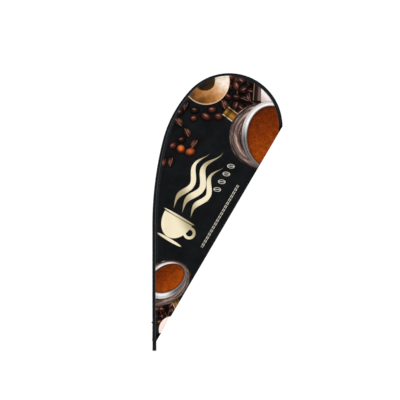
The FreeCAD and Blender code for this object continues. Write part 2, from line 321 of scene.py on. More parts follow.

# %% Sleeve's print line and painted sheen on its fold
# The print runs on to the sleeve up to a line, which moves in as the mast turns over. A
# painted highlight, a pale sheen, lies along the fold by the seam, weaker round the head.
turn = centreline(along)[2]
PRINT_LINE, FOLD_LINE, FOLD_HALF = 0.009, 0.0066, 0.0034
print_starts = PRINT_LINE * (1 + ease((turn - math.radians(80)) / math.radians(60)))
add_values(sleeve, "past_print_line", inward - print_starts)
# Painted highlight: the strength of the pale sheen along the fold, from 0 to 1.
fold_sheen = ease(1 - np.abs(inward - FOLD_LINE) / FOLD_HALF)
fold_sheen *= 1 - 0.75 * ease((turn - math.radians(40)) / math.radians(40))
add_values(sleeve, "painted_fold_sheen", fold_sheen)
print("print line", PRINT_LINE, "to", print_starts.max().round(4), "m from the mast's line")

# %% [markdown]
# ## Hem and patches
#
# The free edge is folded over and sewn, so the hem is a thin band that wraps the sheet's
# edge. It could be a raised strip, but a band that follows the sheet's own points keeps to
# every fold. The tail patch wraps the bottom corner in the same way. The tip patch closes
# the sleeve's end: its section is the sleeve's at one end, and it flattens to the free edge.

# %% Hem
HEM_HALF = 0.0010  # half of its thickness
HEM_ROWS, HEM_COLUMNS = 400, 21


def wrapped_across(around, inner):
    """Shares across the sheet for a band that wraps its free edge: from the band's inner
    line to the edge and back."""
    return inner + (1 - inner) * (1 - np.abs(2 * around - 1))


def wrapped_side(around):
    """-1 on the front, 1 on the back, turning over smoothly at the edge."""
    return np.sin(np.pi / 2 * np.clip((around - 0.5) / 0.03, -1, 1))


def hem_inner(share, depth):
    """Share across the sheet at a depth from the free edge. A row meets the edge at a slant,
    so the depth is divided by the cosine of that slant and by the row's length."""
    seam, edge = sheet_ends(share)
    row = edge - seam
    square_on = row @ np.array([EDGE_RUN[1], -EDGE_RUN[0]])
    return 1 - np.clip(depth / np.maximum(square_on, 1e-6), 0, 1)


share, around = grid_of(np.linspace(0.012, 0.9995, HEM_ROWS), np.linspace(0, 1, HEM_COLUMNS))
hem_points = sheet_point(wrapped_across(around, hem_inner(share, HEM)), share)
hem_points[..., 1] += HEM_HALF * wrapped_side(around)
hem = make_piece("free_edge_fold", hem_points, grid_faces(HEM_ROWS, HEM_COLUMNS))

# %% Tail patch
PATCH_HALF = 0.0015  # half of its thickness
PATCH_ROWS, PATCH_COLUMNS, ROUND_OFF = 40, 31, 0.002
tail_low = TAIL_Z + (SEAM - TUBE_RADIUS) * EDGE_RUN[1] / EDGE_RUN[0]
patch_heights = np.linspace(tail_low + 0.001, PATCH_TOP, PATCH_ROWS)
height, around = grid_of(patch_heights, np.linspace(0, 1, PATCH_COLUMNS))
edge_x = TUBE_RADIUS + (height - TAIL_Z) * EDGE_RUN[0] / EDGE_RUN[1]
seam_x = SEAM - 0.003
x = seam_x + (edge_x + 0.0004 - seam_x) * (1 - np.abs(2 * around - 1))
rounded = np.sqrt(1 - np.clip((height - PATCH_TOP + ROUND_OFF) / ROUND_OFF, 0, 0.98) ** 2)
patch_points = np.stack([x, PATCH_HALF * wrapped_side(around) * rounded, height], axis=-1)
tail_piece = make_piece("tail_corner", patch_points, grid_faces(PATCH_ROWS, PATCH_COLUMNS))

# %% Tip patch
CLOSED_HALF = 0.0012  # half of its thickness where it is flat
TIP_ROWS, TIP_COLUMNS = 40, 81


def tip_patch_point(around, share):
    """The patch over the sleeve's end: the sleeve's section, flattened evenly towards the
    free edge, and closed in the last part."""
    inward, lift = sleeve_profile(around, SLEEVE_TIP_RADIUS + 0.0007)
    inward = np.minimum(inward, SEAM + 0.004)
    low = tip_cut(inward, HEM + 0.003)
    along = low + share * (tip_cut(inward) - low)
    flat = ease((share - 0.42) / 0.52)
    closed = np.sqrt(np.clip((1 - share) / 0.06, 0, 1))
    lift = (lift * (1 - flat) + np.sign(2 * around - 1) * CLOSED_HALF * flat) * closed
    x, z = beside(along, inward)
    return np.stack([x, lift, z], axis=-1)


share, around = grid_of(np.linspace(0, 1, TIP_ROWS), np.linspace(0, 1, TIP_COLUMNS))
tip_piece = make_piece("tip_corner", tip_patch_point(around, share), grid_faces(TIP_ROWS, TIP_COLUMNS))

# %% [markdown]
# ## The cuff and the eyelet
#
# The sleeve's mouth is bound with a ring of webbing. A plain ring would have sharp corners,
# and a real tape has rounded edges, so its section is a superellipse, turned about the mast:
# an oval's cosine and sine, raised to powers under 1, which squares it off. The eyelet's rim
# is rolled from sheet metal: a turned profile that runs up through the cloth and curls over
# it, and the whole of it is bent to lie on the round sleeve.

# %% Cuff
CUFF_HALF = 0.0007  # half of the tape's thickness
SECTION_STEPS, CUFF_STEPS = 36, 96


def full_turn(steps):
    """Even steps round a circle, in radians, without its last point."""
    return np.arange(steps) * math.tau / steps


def signed_power(value, power):
    """The value's size raised to a power, with the value's sign."""
    return np.sign(value) * np.abs(value) ** power


section, turn = grid_of(full_turn(SECTION_STEPS), full_turn(CUFF_STEPS))
wide = CUFF_HALF * signed_power(np.cos(section), 0.9)
high = (CUFF_TOP - TAIL_Z) / 2 * signed_power(np.sin(section), 0.35)
reach = SLEEVE_FOOT_RADIUS + CUFF_HALF - 0.0001 + wide
cuff_z = (CUFF_TOP + TAIL_Z) / 2 + high
cuff_points = np.stack([reach * np.cos(turn), reach * np.sin(turn), cuff_z], axis=-1)
cuff_faces = grid_faces(SECTION_STEPS, CUFF_STEPS, loop=True, loop_rows=True)
cuff = make_piece("sleeve_cuff_tape", cuff_points, cuff_faces[:, ::-1])

# %% Eyelet
eyelet_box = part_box("sleeve_eyelet")
RIM_OUT = (eyelet_box[1][1] - eyelet_box[0][1]) / 2
RIM_IN = 0.0048
RIM_HIGH = -eyelet_box[0][0] - SLEEVE_FOOT_RADIUS
RIM_ROWS, RIM_STEPS = 26, 64
THROAT_SHARE, THROAT_DEEP = 0.2, 0.0009  # the part of the profile that runs through the cloth
profile, turn = grid_of(np.linspace(0, 1, RIM_ROWS), full_turn(RIM_STEPS))
curl = np.clip((profile - THROAT_SHARE) / (1 - THROAT_SHARE), 0, 1)
reach = (RIM_IN + RIM_OUT) / 2 - (RIM_OUT - RIM_IN) / 2 * np.cos(np.pi * curl)
high = RIM_HIGH * np.sin(np.pi * curl) ** 0.7 - THROAT_DEEP * np.clip(1 - profile / THROAT_SHARE, 0, 1)
y = reach * np.cos(turn)
x = -np.sqrt(SLEEVE_FOOT_RADIUS**2 - y**2) - high
rim_points = np.stack([x, y, BUTTON_Z + reach * np.sin(turn)], axis=-1)
eyelet = make_piece("eyelet_rim", rim_points, grid_faces(RIM_ROWS, RIM_STEPS, loop=True))

# %% [markdown]
# ## Button spring
#
# The lock button is held out by a U of blued spring strip inside the tube. The strip is cut
# and bent on a mandrel, so its width is constant and its bend is half a circle. It could be
# a bevelled curve, but a strip has sharp corners, so four lines are carried round the U and
# joined. One leg lies on the tube's far wall, and the other follows the button.

# %% Button spring
spring_low, spring_high = np.array(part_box("button_spring"))
STRIP, BEND_STEPS, LEG_STEPS = 0.0007, 24, 8


def strip_line(inset):
    """The U seen from the side: up one leg, round half a circle and down the other leg. The
    inset takes it in from the strip's outer face."""
    middle, radius = (spring_low[0] + spring_high[0]) / 2, (spring_high[0] - spring_low[0]) / 2
    turn = np.linspace(math.pi, 0, BEND_STEPS)
    bend_x = middle + (radius - inset) * np.cos(turn)
    bend_z = spring_high[2] - radius + (radius - inset) * np.sin(turn)
    bend = np.stack([bend_x, bend_z], 1)
    leg = np.linspace(spring_low[2], bend[0, 1], LEG_STEPS)[:-1]
    first = np.stack([np.full(leg.size, bend[0, 0]), leg], 1)
    return np.concatenate([first, bend, first[::-1] * [0, 1] + [bend[-1, 0], 0]])


outer, inner = strip_line(0.0), strip_line(STRIP)
half_width = (spring_high[1] - spring_low[1]) / 2
corner_lines = [
    np.insert(line, 1, side * half_width, axis=1)
    for line, side in [(outer, -1.0), (outer, 1.0), (inner, 1.0), (inner, -1.0)]
]
strip_points = np.stack(corner_lines, 1)
count = len(strip_points)
ends = [(3, 2, 1, 0), tuple(count * 4 - 4 + corner for corner in range(4))]
spring_faces = np.concatenate([grid_faces(count, 4, loop=True), ends])
spring = make_piece("button_spring_strip", strip_points, spring_faces)
spring.data.set_sharp_from_angle(angle=math.radians(40))

# %% [markdown]
# ## Stitches
#
# Two rows of lockstitch hold every seam. They could be a bump in the material, but real
# thread catches the light as separate short ridges, so each stitch is a small mesh. One
# grain with tapered ends is worked out once, and set along each row as whole arrays.

# %% Stitches
STITCH_PITCH = 0.0042
STITCH_SIZE = np.array([0.0031, 0.0007, 0.0005])  # along, across and up
STITCH_LIFT = 0.0001  # of its middle, over the cloth


def grain():
    """One stitch: four points on each of three rings, fattest in the middle, and a point at
    either end. Columns are along, across and up."""
    share, turn = (values.ravel() for values in grid_of(np.array([-0.6, 0.0, 0.6]), full_turn(4)))
    wide = np.sqrt(1 - share**2)
    rings = np.stack([share, wide * np.cos(turn), wide * np.sin(turn)], axis=1)
    points = np.concatenate([[(-1, 0, 0)], rings, [(1, 0, 0)]]) * STITCH_SIZE / 2
    faces = []
    for side in range(4):
        following = (side + 1) % 4
        faces += [(0, 1 + following, 1 + side), (9 + side, 9 + following, 13)]
        for ring in (1, 5):
            near, far = ring + side, ring + following
            faces += [(near, far, far + 4), (near, far + 4, near + 4)]
    return points, np.array(faces)


def points_at(places, length, path):
    """Points of a path at places along it, by straight lines between the path's points."""
    return np.stack([np.interp(places, length, path[:, axis]) for axis in range(3)], axis=-1)


def sew(name, rows):
    """A piece that holds the stitches along each row. A row is a dense path and the direction
    that its face looks in. Each stitch is the grain, set on three axes: along the path, out of
    the cloth, and their cross product."""
    base, base_faces = grain()
    made = []
    for path, outward in rows:
        steps = np.linalg.norm(np.diff(path, axis=0), axis=1)
        length = np.concatenate([[0], np.cumsum(steps)])
        places = np.arange(STITCH_PITCH / 2, length[-1], STITCH_PITCH)
        run = points_at(places + 0.001, length, path) - points_at(places - 0.001, length, path)
        run /= np.linalg.norm(run, axis=1, keepdims=True)
        up = np.broadcast_to(outward, run.shape)
        axes = np.stack([run, np.cross(up, run), up], axis=1)
        made.append(points_at(places, length, path)[:, None, :] + np.einsum("pk,nkc->npc", base, axes))
    points = np.concatenate(made)
    offsets = np.arange(len(points))[:, None, None] * len(base)
    return make_piece(name, points, (base_faces[None] + offsets).reshape(-1, 3))


# %% Seam and hem stitches
FRONT, BACK = np.array([0.0, -1.0, 0.0]), np.array([0.0, 1.0, 0.0])
seam_rows, hem_rows = [], []
along = np.linspace(CUFF_TOP, MAST_END + 0.02, 1400)
for inward in (SEAM + 0.0020, SEAM + 0.0060):
    x, z = beside(along, inward)
    for face in (FRONT, BACK):
        seam_rows.append((np.stack([x, 0 * x, z], axis=-1) + face * (FLANGE_LIFT + STITCH_LIFT), face))
share = np.linspace(0.03, 0.985, 900)
for depth in (0.003, 0.0115):
    path = sheet_point(hem_inner(share, depth), share)
    for face in (FRONT, BACK):
        hem_rows.append((path + face * (HEM_HALF + STITCH_LIFT), face))
seam_stitches = sew("seam_stitches", seam_rows)
hem_stitches = sew("hem_stitches", hem_rows)

# %% [markdown]
# ## Writing shaders as formulas
#
# The print and the finishes are node trees with hundreds of nodes, which nobody could read
# as separate lines. A few helpers place one node each and return its output, so that a tree
# is written like a sum. An effect that is used more than once is a node group.

# %% Node helpers
def feed(tree, socket, value):
    """Links an output to a socket, or sets a plain value on it."""
    if isinstance(value, bpy.types.NodeSocket):
        tree.links.new(value, socket)
    else:
        socket.default_value = value


def place(tree, kind, inputs, **settings):
    """Places a node, with its settings and its inputs by name."""
    made = tree.nodes.new(kind)
    for name, value in settings.items():
        setattr(made, name, value)
    for name, value in inputs.items():
        feed(tree, made.inputs[name], value)
    return made


def maths(tree, operation, *values):
    """One Math node."""
    made = place(tree, "ShaderNodeMath", {}, operation=operation)
    for socket, value in zip(made.inputs, values):
        feed(tree, socket, value)
    return made.outputs[0]


def vectors(tree, operation, *values, out="Vector"):
    """One Vector Math node."""
    made = place(tree, "ShaderNodeVectorMath", {}, operation=operation)
    for socket, value in zip(made.inputs, values):
        feed(tree, socket, value)
    return made.outputs[out]


# %% Sums and steps
def times(tree, first, second):
    """The product of two values."""
    return maths(tree, "MULTIPLY", first, second)


def plus(tree, first, second):
    """The sum of two values."""
    return maths(tree, "ADD", first, second)


def less(tree, first, second):
    """The first value less the second."""
    return maths(tree, "SUBTRACT", first, second)


def times_plus(tree, value, factor, extra):
    """The value times a factor, plus an extra."""
    return maths(tree, "MULTIPLY_ADD", value, factor, extra)


def larger(tree, first, second):
    """The larger of two values. Of two masks, it is the mask of either."""
    return maths(tree, "MAXIMUM", first, second)


def size_of(tree, value):
    """The value without its sign."""
    return maths(tree, "ABSOLUTE", value)


def rise(tree, value, low, high):
    """Smooth step: 0 below low and 1 above high, or the other way round if low is larger."""
    inputs = {"Value": value, "From Min": low, "From Max": high}
    return place(tree, "ShaderNodeMapRange", inputs, interpolation_type="SMOOTHSTEP").outputs["Result"]


def paint(tree, under, over, mask):
    """The over colour laid on the under colour where the mask is 1."""
    made = place(tree, "ShaderNodeMix", {}, data_type="RGBA")
    for socket, value in zip([made.inputs[0], made.inputs[6], made.inputs[7]], [mask, under, over]):
        feed(tree, socket, value)
    return made.outputs[2]


def choose(tree, mask, first, second):
    """The first vector where the mask is 0 and the second where it is 1."""
    made = place(tree, "ShaderNodeMix", {}, data_type="VECTOR")
    for socket, value in zip([made.inputs[0], made.inputs[4], made.inputs[5]], [mask, first, second]):
        feed(tree, socket, value)
    return made.outputs[1]


# %% Places and patterns
def edge(tree, value):
    """1 while the value is between -1 and 1, with a soft border."""
    return rise(tree, size_of(tree, value), 1.03, 0.97)


def length_of(tree, vector):
    """How long a vector is: the square root of the sum of its squares."""
    return vectors(tree, "LENGTH", vector, out="Value")


def apart(tree, vector):
    """A vector's x and y."""
    made = place(tree, "ShaderNodeSeparateXYZ", {"Vector": vector})
    return made.outputs["X"], made.outputs["Y"]


def inside(tree, spot, middle, half, turn=0.0):
    """The spot seen from a turned box or oval: 0 in its middle and 1 at its edge."""
    rotation = (0, 0, math.radians(turn)) if isinstance(turn, (int, float)) else turn
    inputs = {"Vector": spot, "Location": middle, "Rotation": rotation, "Scale": half}
    return place(tree, "ShaderNodeMapping", inputs, vector_type="TEXTURE").outputs[0]


def combine(tree, x=0.0, y=0.0, z=0.0):
    """A vector from its parts."""
    return place(tree, "ShaderNodeCombineXYZ", {"X": x, "Y": y, "Z": z}).outputs[0]


def noise(tree, spot, scale, detail=2.0, rough=0.5):
    """Smooth random values round a half. Each step of detail adds waves half as long, and
    rough times as high."""
    inputs = {"Vector": spot, "Scale": scale, "Detail": detail, "Roughness": rough}
    return place(tree, "ShaderNodeTexNoise", inputs).outputs[0]


# %% Inks and groups
def ink(red, green, blue):
    """A printer's colour, each part 0 to 255, as the linear light that shaders use: each
    share of 255, raised a little and to the power 2.4, and a plain share of it when dark."""
    share = np.array([red, green, blue]) / 255
    linear = np.where(share <= 0.04045, share / 12.92, ((share + 0.055) / 1.055) ** 2.4)
    return (*linear.tolist(), 1.0)


ORIGIN = (0, 0, 0)
KINDS = {"colour": "NodeSocketColor", "value": "NodeSocketFloat", "vector": "NodeSocketVector"}
PICTURE = {"Colour": "colour", "Mask": "value"}


def kind_of(value):
    """A socket's kind from its first value: a number, three numbers, or four for a colour."""
    if isinstance(value, (int, float)):
        return "value"
    return "vector" if len(value) == 3 else "colour"


def new_group(name, inputs, outputs):
    """An empty shader group, with its inputs' first values and its outputs' kinds by name.
    Returns the group, its inputs by name and a function that ends it."""
    tree = bpy.data.node_groups.new(name, "ShaderNodeTree")
    for label, value in inputs.items():
        socket_type = KINDS[kind_of(value)]
        tree.interface.new_socket(label, in_out="INPUT", socket_type=socket_type).default_value = value
    for label, kind in outputs.items():
        tree.interface.new_socket(label, in_out="OUTPUT", socket_type=KINDS[kind])
    source, sink = tree.nodes.new("NodeGroupInput"), tree.nodes.new("NodeGroupOutput")

    def end(**results):
        """Sets the group's outputs by name and returns it."""
        for label, value in results.items():
            feed(tree, sink.inputs[label], value)
        print("group", name, len(tree.nodes), "nodes")
        return tree

    return tree, source.outputs, end


def use(tree, group, **inputs):
    """Places a group in a tree and returns its outputs by name."""
    made = tree.nodes.new("ShaderNodeGroup")
    made.node_tree = group
    for label, value in inputs.items():
        feed(tree, made.inputs[label], value)
    return made.outputs


# %% [markdown]
# ## Beans, one and many
#
# The print is a picture, so it is drawn flat: places are metres across and up the flag. A
# bean is an oval, darker towards its edge, with a soft highlight and sometimes its crease.
# The same face serves each bean listed one by one and each cell of a Voronoi pattern, which
# makes a heap: every cell holds one bean, turned and toasted by the cell's own random colour.

# %% Bean
def build_bean():
    """One bean in its own view, where it is a circle of radius 1. It is lit from above: its
    shade runs with its reach from the middle, less a part of its height. The crease is a
    shallow sine wave across it, drawn as a dark groove with a pale skin in its middle."""
    inputs = {"Local": ORIGIN, "Roast": (0, 0, 0, 1), "Crease": 0.0, "Shine": 0.5}
    tree, given, end = new_group("bean", inputs, PICTURE)
    reach = length_of(tree, given["Local"])
    across, up = apart(tree, given["Local"])
    lit = rise(tree, plus(tree, reach, times(tree, up, -0.40)), 1.05, -0.15)
    shade = times_plus(tree, lit, 1.1, 0.07)
    body = paint(tree, ink(0, 0, 0), given["Roast"], shade)
    glint = length_of(tree, inside(tree, given["Local"], (-0.1, 0.42, 0), (0.62, 0.26, 1), -8))
    glint = times(tree, rise(tree, glint, 1.0, 0.0), given["Shine"])
    colour = paint(tree, body, ink(222, 164, 152), times(tree, glint, 0.5))
    bend = times(tree, maths(tree, "SINE", times(tree, across, 2.6)), 0.16)
    from_crease = size_of(tree, plus(tree, plus(tree, up, 0.08), bend))
    within = times(tree, rise(tree, reach, 1.0, 0.8), given["Crease"])
    groove = times(tree, rise(tree, from_crease, 0.34, 0.16), within)
    skin = times(tree, rise(tree, from_crease, 0.13, 0.02), within)
    colour = paint(tree, colour, ink(12, 4, 3), times(tree, groove, 0.9))
    colour = paint(tree, colour, ink(176, 120, 104), times(tree, skin, 0.6))
    return end(Colour=colour, Mask=rise(tree, reach, 1.03, 0.93))


bean_group = build_bean()


# %% Heap of beans
HEAP_LAYERS = [((0.31, 0.17, 0), 0.16), ((0.77, 0.53, 0), 0.4), ((0.13, 0.89, 0), 1.0)]


def build_heap():
    """Three layers of Voronoi cells, each shifted and brighter than the one below it. A cell
    holds one bean, if its middle lies in the heap's oval."""
    inputs = {"Place": ORIGIN, "Size": 0.06, "Middle": ORIGIN, "Half": (0.2, 0.2, 1), "Bright": 1.0}
    tree, given, end = new_group("bean_heap", inputs, PICTURE)
    colour, mask = ink(6, 2, 2), 0.0
    for shift, glow in HEAP_LAYERS:
        spot = vectors(tree, "ADD", given["Place"], shift)
        scale = maths(tree, "DIVIDE", 1.0, given["Size"])
        pattern = {"Vector": spot, "Scale": scale, "Randomness": 0.75}
        cells = place(tree, "ShaderNodeTexVoronoi", pattern, voronoi_dimensions="2D")
        pick = place(tree, "ShaderNodeSeparateColor", {"Color": cells.outputs["Color"]})
        turn = combine(tree, z=times(tree, pick.outputs[0], math.tau))
        half = combine(tree, times(tree, given["Size"], 0.62), times(tree, given["Size"], 0.44), 1.0)
        local = inside(tree, spot, cells.outputs["Position"], half, turn)
        roast = paint(tree, ink(20, 9, 7), ink(92, 48, 36), maths(tree, "POWER", pick.outputs[1], 2.4))
        lit = paint(tree, ink(0, 0, 0), roast, times(tree, given["Bright"], glow))
        crease = times(tree, maths(tree, "GREATER_THAN", pick.outputs[2], 0.7), 0.6)
        shine = times(tree, pick.outputs[1], glow * glow)
        bean = use(tree, bean_group, Local=local, Roast=lit, Crease=crease, Shine=shine)
        home = vectors(tree, "SUBTRACT", cells.outputs["Position"], shift)
        kept = rise(tree, length_of(tree, inside(tree, home, given["Middle"], given["Half"])), 1.02, 0.98)
        here = times(tree, bean["Mask"], kept)
        colour = paint(tree, colour, bean["Colour"], here)
        mask = larger(tree, mask, here)
    return end(Colour=colour, Mask=mask)


heap_group = build_heap()

# %% [markdown]
# ## The filter holder and the cup
#
# A filter holder seen from above is three ovals, one inside the other: ground coffee, a
# bright steel ring and a darker body. The ring's greys run across it as on turned metal, and
# change round it as its polish meets the light. The group takes each oval's own view of the
# spot, so that two holders of different sizes and tilts share it.

# %% Ramp helper
def ramp(tree, value, stops):
    """A Color Ramp. Each stop is its place and its ink's red, green and blue."""
    made = place(tree, "ShaderNodeValToRGB", {"Fac": value})
    elements = made.color_ramp.elements
    while len(elements) < len(stops):
        elements.new(0.5)
    for element, (spot, *colour) in zip(elements, stops):
        element.position = spot
        element.color = ink(*colour)
    return made.outputs["Color"]


# %% Filter holder
def build_holder():
    """A spot is in an oval where its length in the oval's own view is under 1. How far it is
    across the ring is its way past the inner oval, over that and its way to the outer one.
    The ring is bright where its direction is near the light's, by the cosine between them."""
    inputs = {"Place": ORIGIN, "Grounds": ORIGIN, "Ring": ORIGIN, "Body": ORIGIN, "Light": 2.2, "Spread": 0.6}
    tree, given, end = new_group("filter_holder", inputs, PICTURE)
    in_grounds, in_ring = length_of(tree, given["Grounds"]), length_of(tree, given["Ring"])
    in_body = length_of(tree, given["Body"])
    across, up = apart(tree, given["Grounds"])
    round_x, round_y = apart(tree, given["Ring"])
    angle = maths(tree, "ARCTAN2", round_y, round_x)
    # Ground coffee: coarse clumps and fine grains, darker under the ring's upper edge.
    clumps = noise(tree, given["Place"], 34.0, 4.0, 0.6)
    grains = noise(tree, given["Place"], 130.0, 4.0, 0.8)
    mix = times_plus(tree, grains, 0.9, times(tree, clumps, 0.4))
    slope = times_plus(tree, up, -0.16, times(tree, across, 0.04))
    mix = plus(tree, mix, slope)
    grounds = ramp(tree, mix, [(0.40, 56, 17, 2), (0.62, 112, 42, 3), (0.86, 164, 72, 8)])
    brim = times(tree, rise(tree, in_grounds, 0.86, 1.0), 0.65)
    grounds = paint(tree, grounds, ink(38, 14, 6), brim)
    specks = rise(tree, noise(tree, given["Place"], 190.0, 2.0, 0.9), 0.56, 0.66)
    grounds = paint(tree, grounds, ink(52, 18, 3), times(tree, specks, 0.5))
    # Steel ring: greys by how far across the ring, and by direction round it.
    inner, outer = less(tree, in_grounds, 1.0), less(tree, 1.0, in_ring)
    wall = maths(tree, "DIVIDE", inner, plus(tree, inner, outer))
    stops = [(0.0, 60, 40, 34), (0.12, 150, 142, 140), (0.3, 232, 230, 230), (0.5, 224, 222, 223)]
    stops += [(0.74, 186, 178, 176), (0.9, 208, 196, 192), (1.0, 84, 70, 66)]
    steel = ramp(tree, wall, stops)
    facing = maths(tree, "COSINE", less(tree, angle, given["Light"]))
    dark_by = less(tree, given["Spread"], 0.62)
    dull = times(tree, rise(tree, facing, given["Spread"], dark_by), 0.85)
    steel = paint(tree, steel, ink(78, 71, 71), dull)
    line = rise(tree, size_of(tree, less(tree, wall, 0.55)), 0.13, 0.03)
    steel = paint(tree, steel, ink(22, 16, 18), times(tree, line, dull))
    brushed = noise(tree, given["Ring"], 24.0, 3.0, 0.6)
    steel = paint(tree, steel, ink(40, 36, 38), times(tree, rise(tree, brushed, 0.5, 0.75), 0.35))
    # Body: brown reflections on dark metal, with a pale streak on its near side.
    depth = rise(tree, in_body, 1.0, 0.66)
    stops = [(0.0, 36, 26, 25), (0.12, 100, 80, 76), (0.3, 74, 58, 55), (0.5, 160, 138, 130)]
    stops += [(0.7, 104, 80, 70), (1.0, 44, 34, 33)]
    body = ramp(tree, depth, stops)
    swept = combine(tree, times(tree, in_body, 14.0), angle)
    streaks = noise(tree, swept, 1.9, 3.0, 0.6)
    body = paint(tree, body, ink(20, 13, 12), times(tree, rise(tree, streaks, 0.46, 0.66), 0.85))
    body = paint(tree, body, ink(212, 184, 162), times(tree, rise(tree, streaks, 0.46, 0.28), 0.8))
    colour = paint(tree, body, steel, rise(tree, in_ring, 1.01, 0.99))
    colour = paint(tree, colour, grounds, rise(tree, in_grounds, 1.01, 0.99))
    mask = larger(tree, rise(tree, in_body, 1.012, 0.988), rise(tree, in_ring, 1.012, 0.988))
    return end(Colour=colour, Mask=mask)


holder_group = build_holder()


# %% Cup of froth
def build_cup():
    """Froth in a round cup: its tone leans to the upper right, with blots and bubbles, and
    round its middle a hole with a ragged rim shows the dark drink."""
    tree, given, end = new_group("froth_cup", {"Local": ORIGIN, "Place": ORIGIN}, PICTURE)
    reach = length_of(tree, given["Local"])
    across, up = apart(tree, given["Local"])
    blots = noise(tree, given["Place"], 16.0, 3.0, 0.6)
    bubbles = noise(tree, given["Place"], 300.0, 2.0, 0.6)
    lean = plus(tree, times(tree, across, 0.42), times(tree, up, 0.55))
    tone = plus(tree, lean, times_plus(tree, blots, 0.9, times(tree, bubbles, 0.35)))
    stops = [(0.05, 88, 54, 22), (0.3, 148, 96, 46), (0.55, 190, 140, 94)]
    froth = ramp(tree, tone, [*stops, (0.85, 216, 194, 172), (1.0, 232, 222, 212)])
    froth = paint(tree, froth, ink(222, 196, 166), times(tree, rise(tree, reach, 0.94, 0.97), 0.6))
    froth = paint(tree, froth, ink(120, 84, 56), times(tree, rise(tree, reach, 0.985, 1.0), 0.6))
    from_middle = length_of(tree, vectors(tree, "ADD", given["Local"], (0.05, -0.02, 0)))
    hole = plus(tree, from_middle, times_plus(tree, blots, 0.1, -0.05))
    drink = paint(tree, ink(54, 34, 14), ink(14, 7, 3), rise(tree, less(tree, up, across), -0.45, 0.1))
    colour = paint(tree, froth, drink, rise(tree, hole, 0.45, 0.41))
    return end(Colour=colour, Mask=rise(tree, reach, 1.006, 0.994))


cup_group = build_cup()

# %% [markdown]
# ## The cream ornament
#
# A plain picture of a cup with steam rising from it lies along the slant of the free edge.
# It is drawn in its own turned view, where one axis runs along the slant, so that each part
# is a simple formula: a curl of steam is a sine wave whose stroke swells and tapers.

# %% Steam curl
def build_curl():
    """A sine wave along the slant. A spot is in its stroke where its distance aside from the
    wave is under the stroke's half width, which swells and tapers between the wave's ends."""
    inputs = {"Spot": ORIGIN, "Start": 0.0, "End": 0.3, "Aside": 0.0}
    inputs |= {"Swing": 0.03, "Wave": 0.2, "Thick": 0.015}
    tree, given, end = new_group("steam_curl", inputs, {"Mask": "value"})
    along, aside = apart(tree, given["Spot"])
    done = maths(tree, "DIVIDE", less(tree, along, given["Start"]), less(tree, given["End"], given["Start"]))
    phase = times(tree, maths(tree, "DIVIDE", less(tree, along, given["Start"]), given["Wave"]), math.tau)
    swing = times(tree, given["Swing"], rise(tree, done, -0.3, 0.5))
    line = plus(tree, given["Aside"], times(tree, maths(tree, "SINE", phase), swing))
    away = size_of(tree, less(tree, aside, line))
    slant = size_of(tree, maths(tree, "COSINE", phase))
    within = times(tree, rise(tree, done, 0.0, 0.02), rise(tree, done, 1.0, 0.98))
    taper = times(tree, rise(tree, done, 0.0, 0.3), rise(tree, done, 1.0, 0.55))
    stroke = times(tree, given["Thick"], times(tree, taper, times_plus(tree, slant, 0.22, 0.78)))
    in_stroke = rise(tree, less(tree, away, stroke), 0.001, -0.0006)
    return end(Mask=times(tree, in_stroke, within))


curl_group = build_curl()


# %% Ornament
# Each curl's start and end along the slant, its place aside, swing, wave length and width.
CURLS = [
    (-0.140, 0.325, 0.064, 0.028, 0.275, 0.021),
    (-0.140, 0.375, -0.004, 0.032, 0.290, 0.025),
    (-0.140, 0.290, -0.072, 0.028, 0.260, 0.021),
]
OVAL_HALF_PITCH, OVAL_TILT = 0.0315, 24
DASH_HALF_PITCH = 0.014


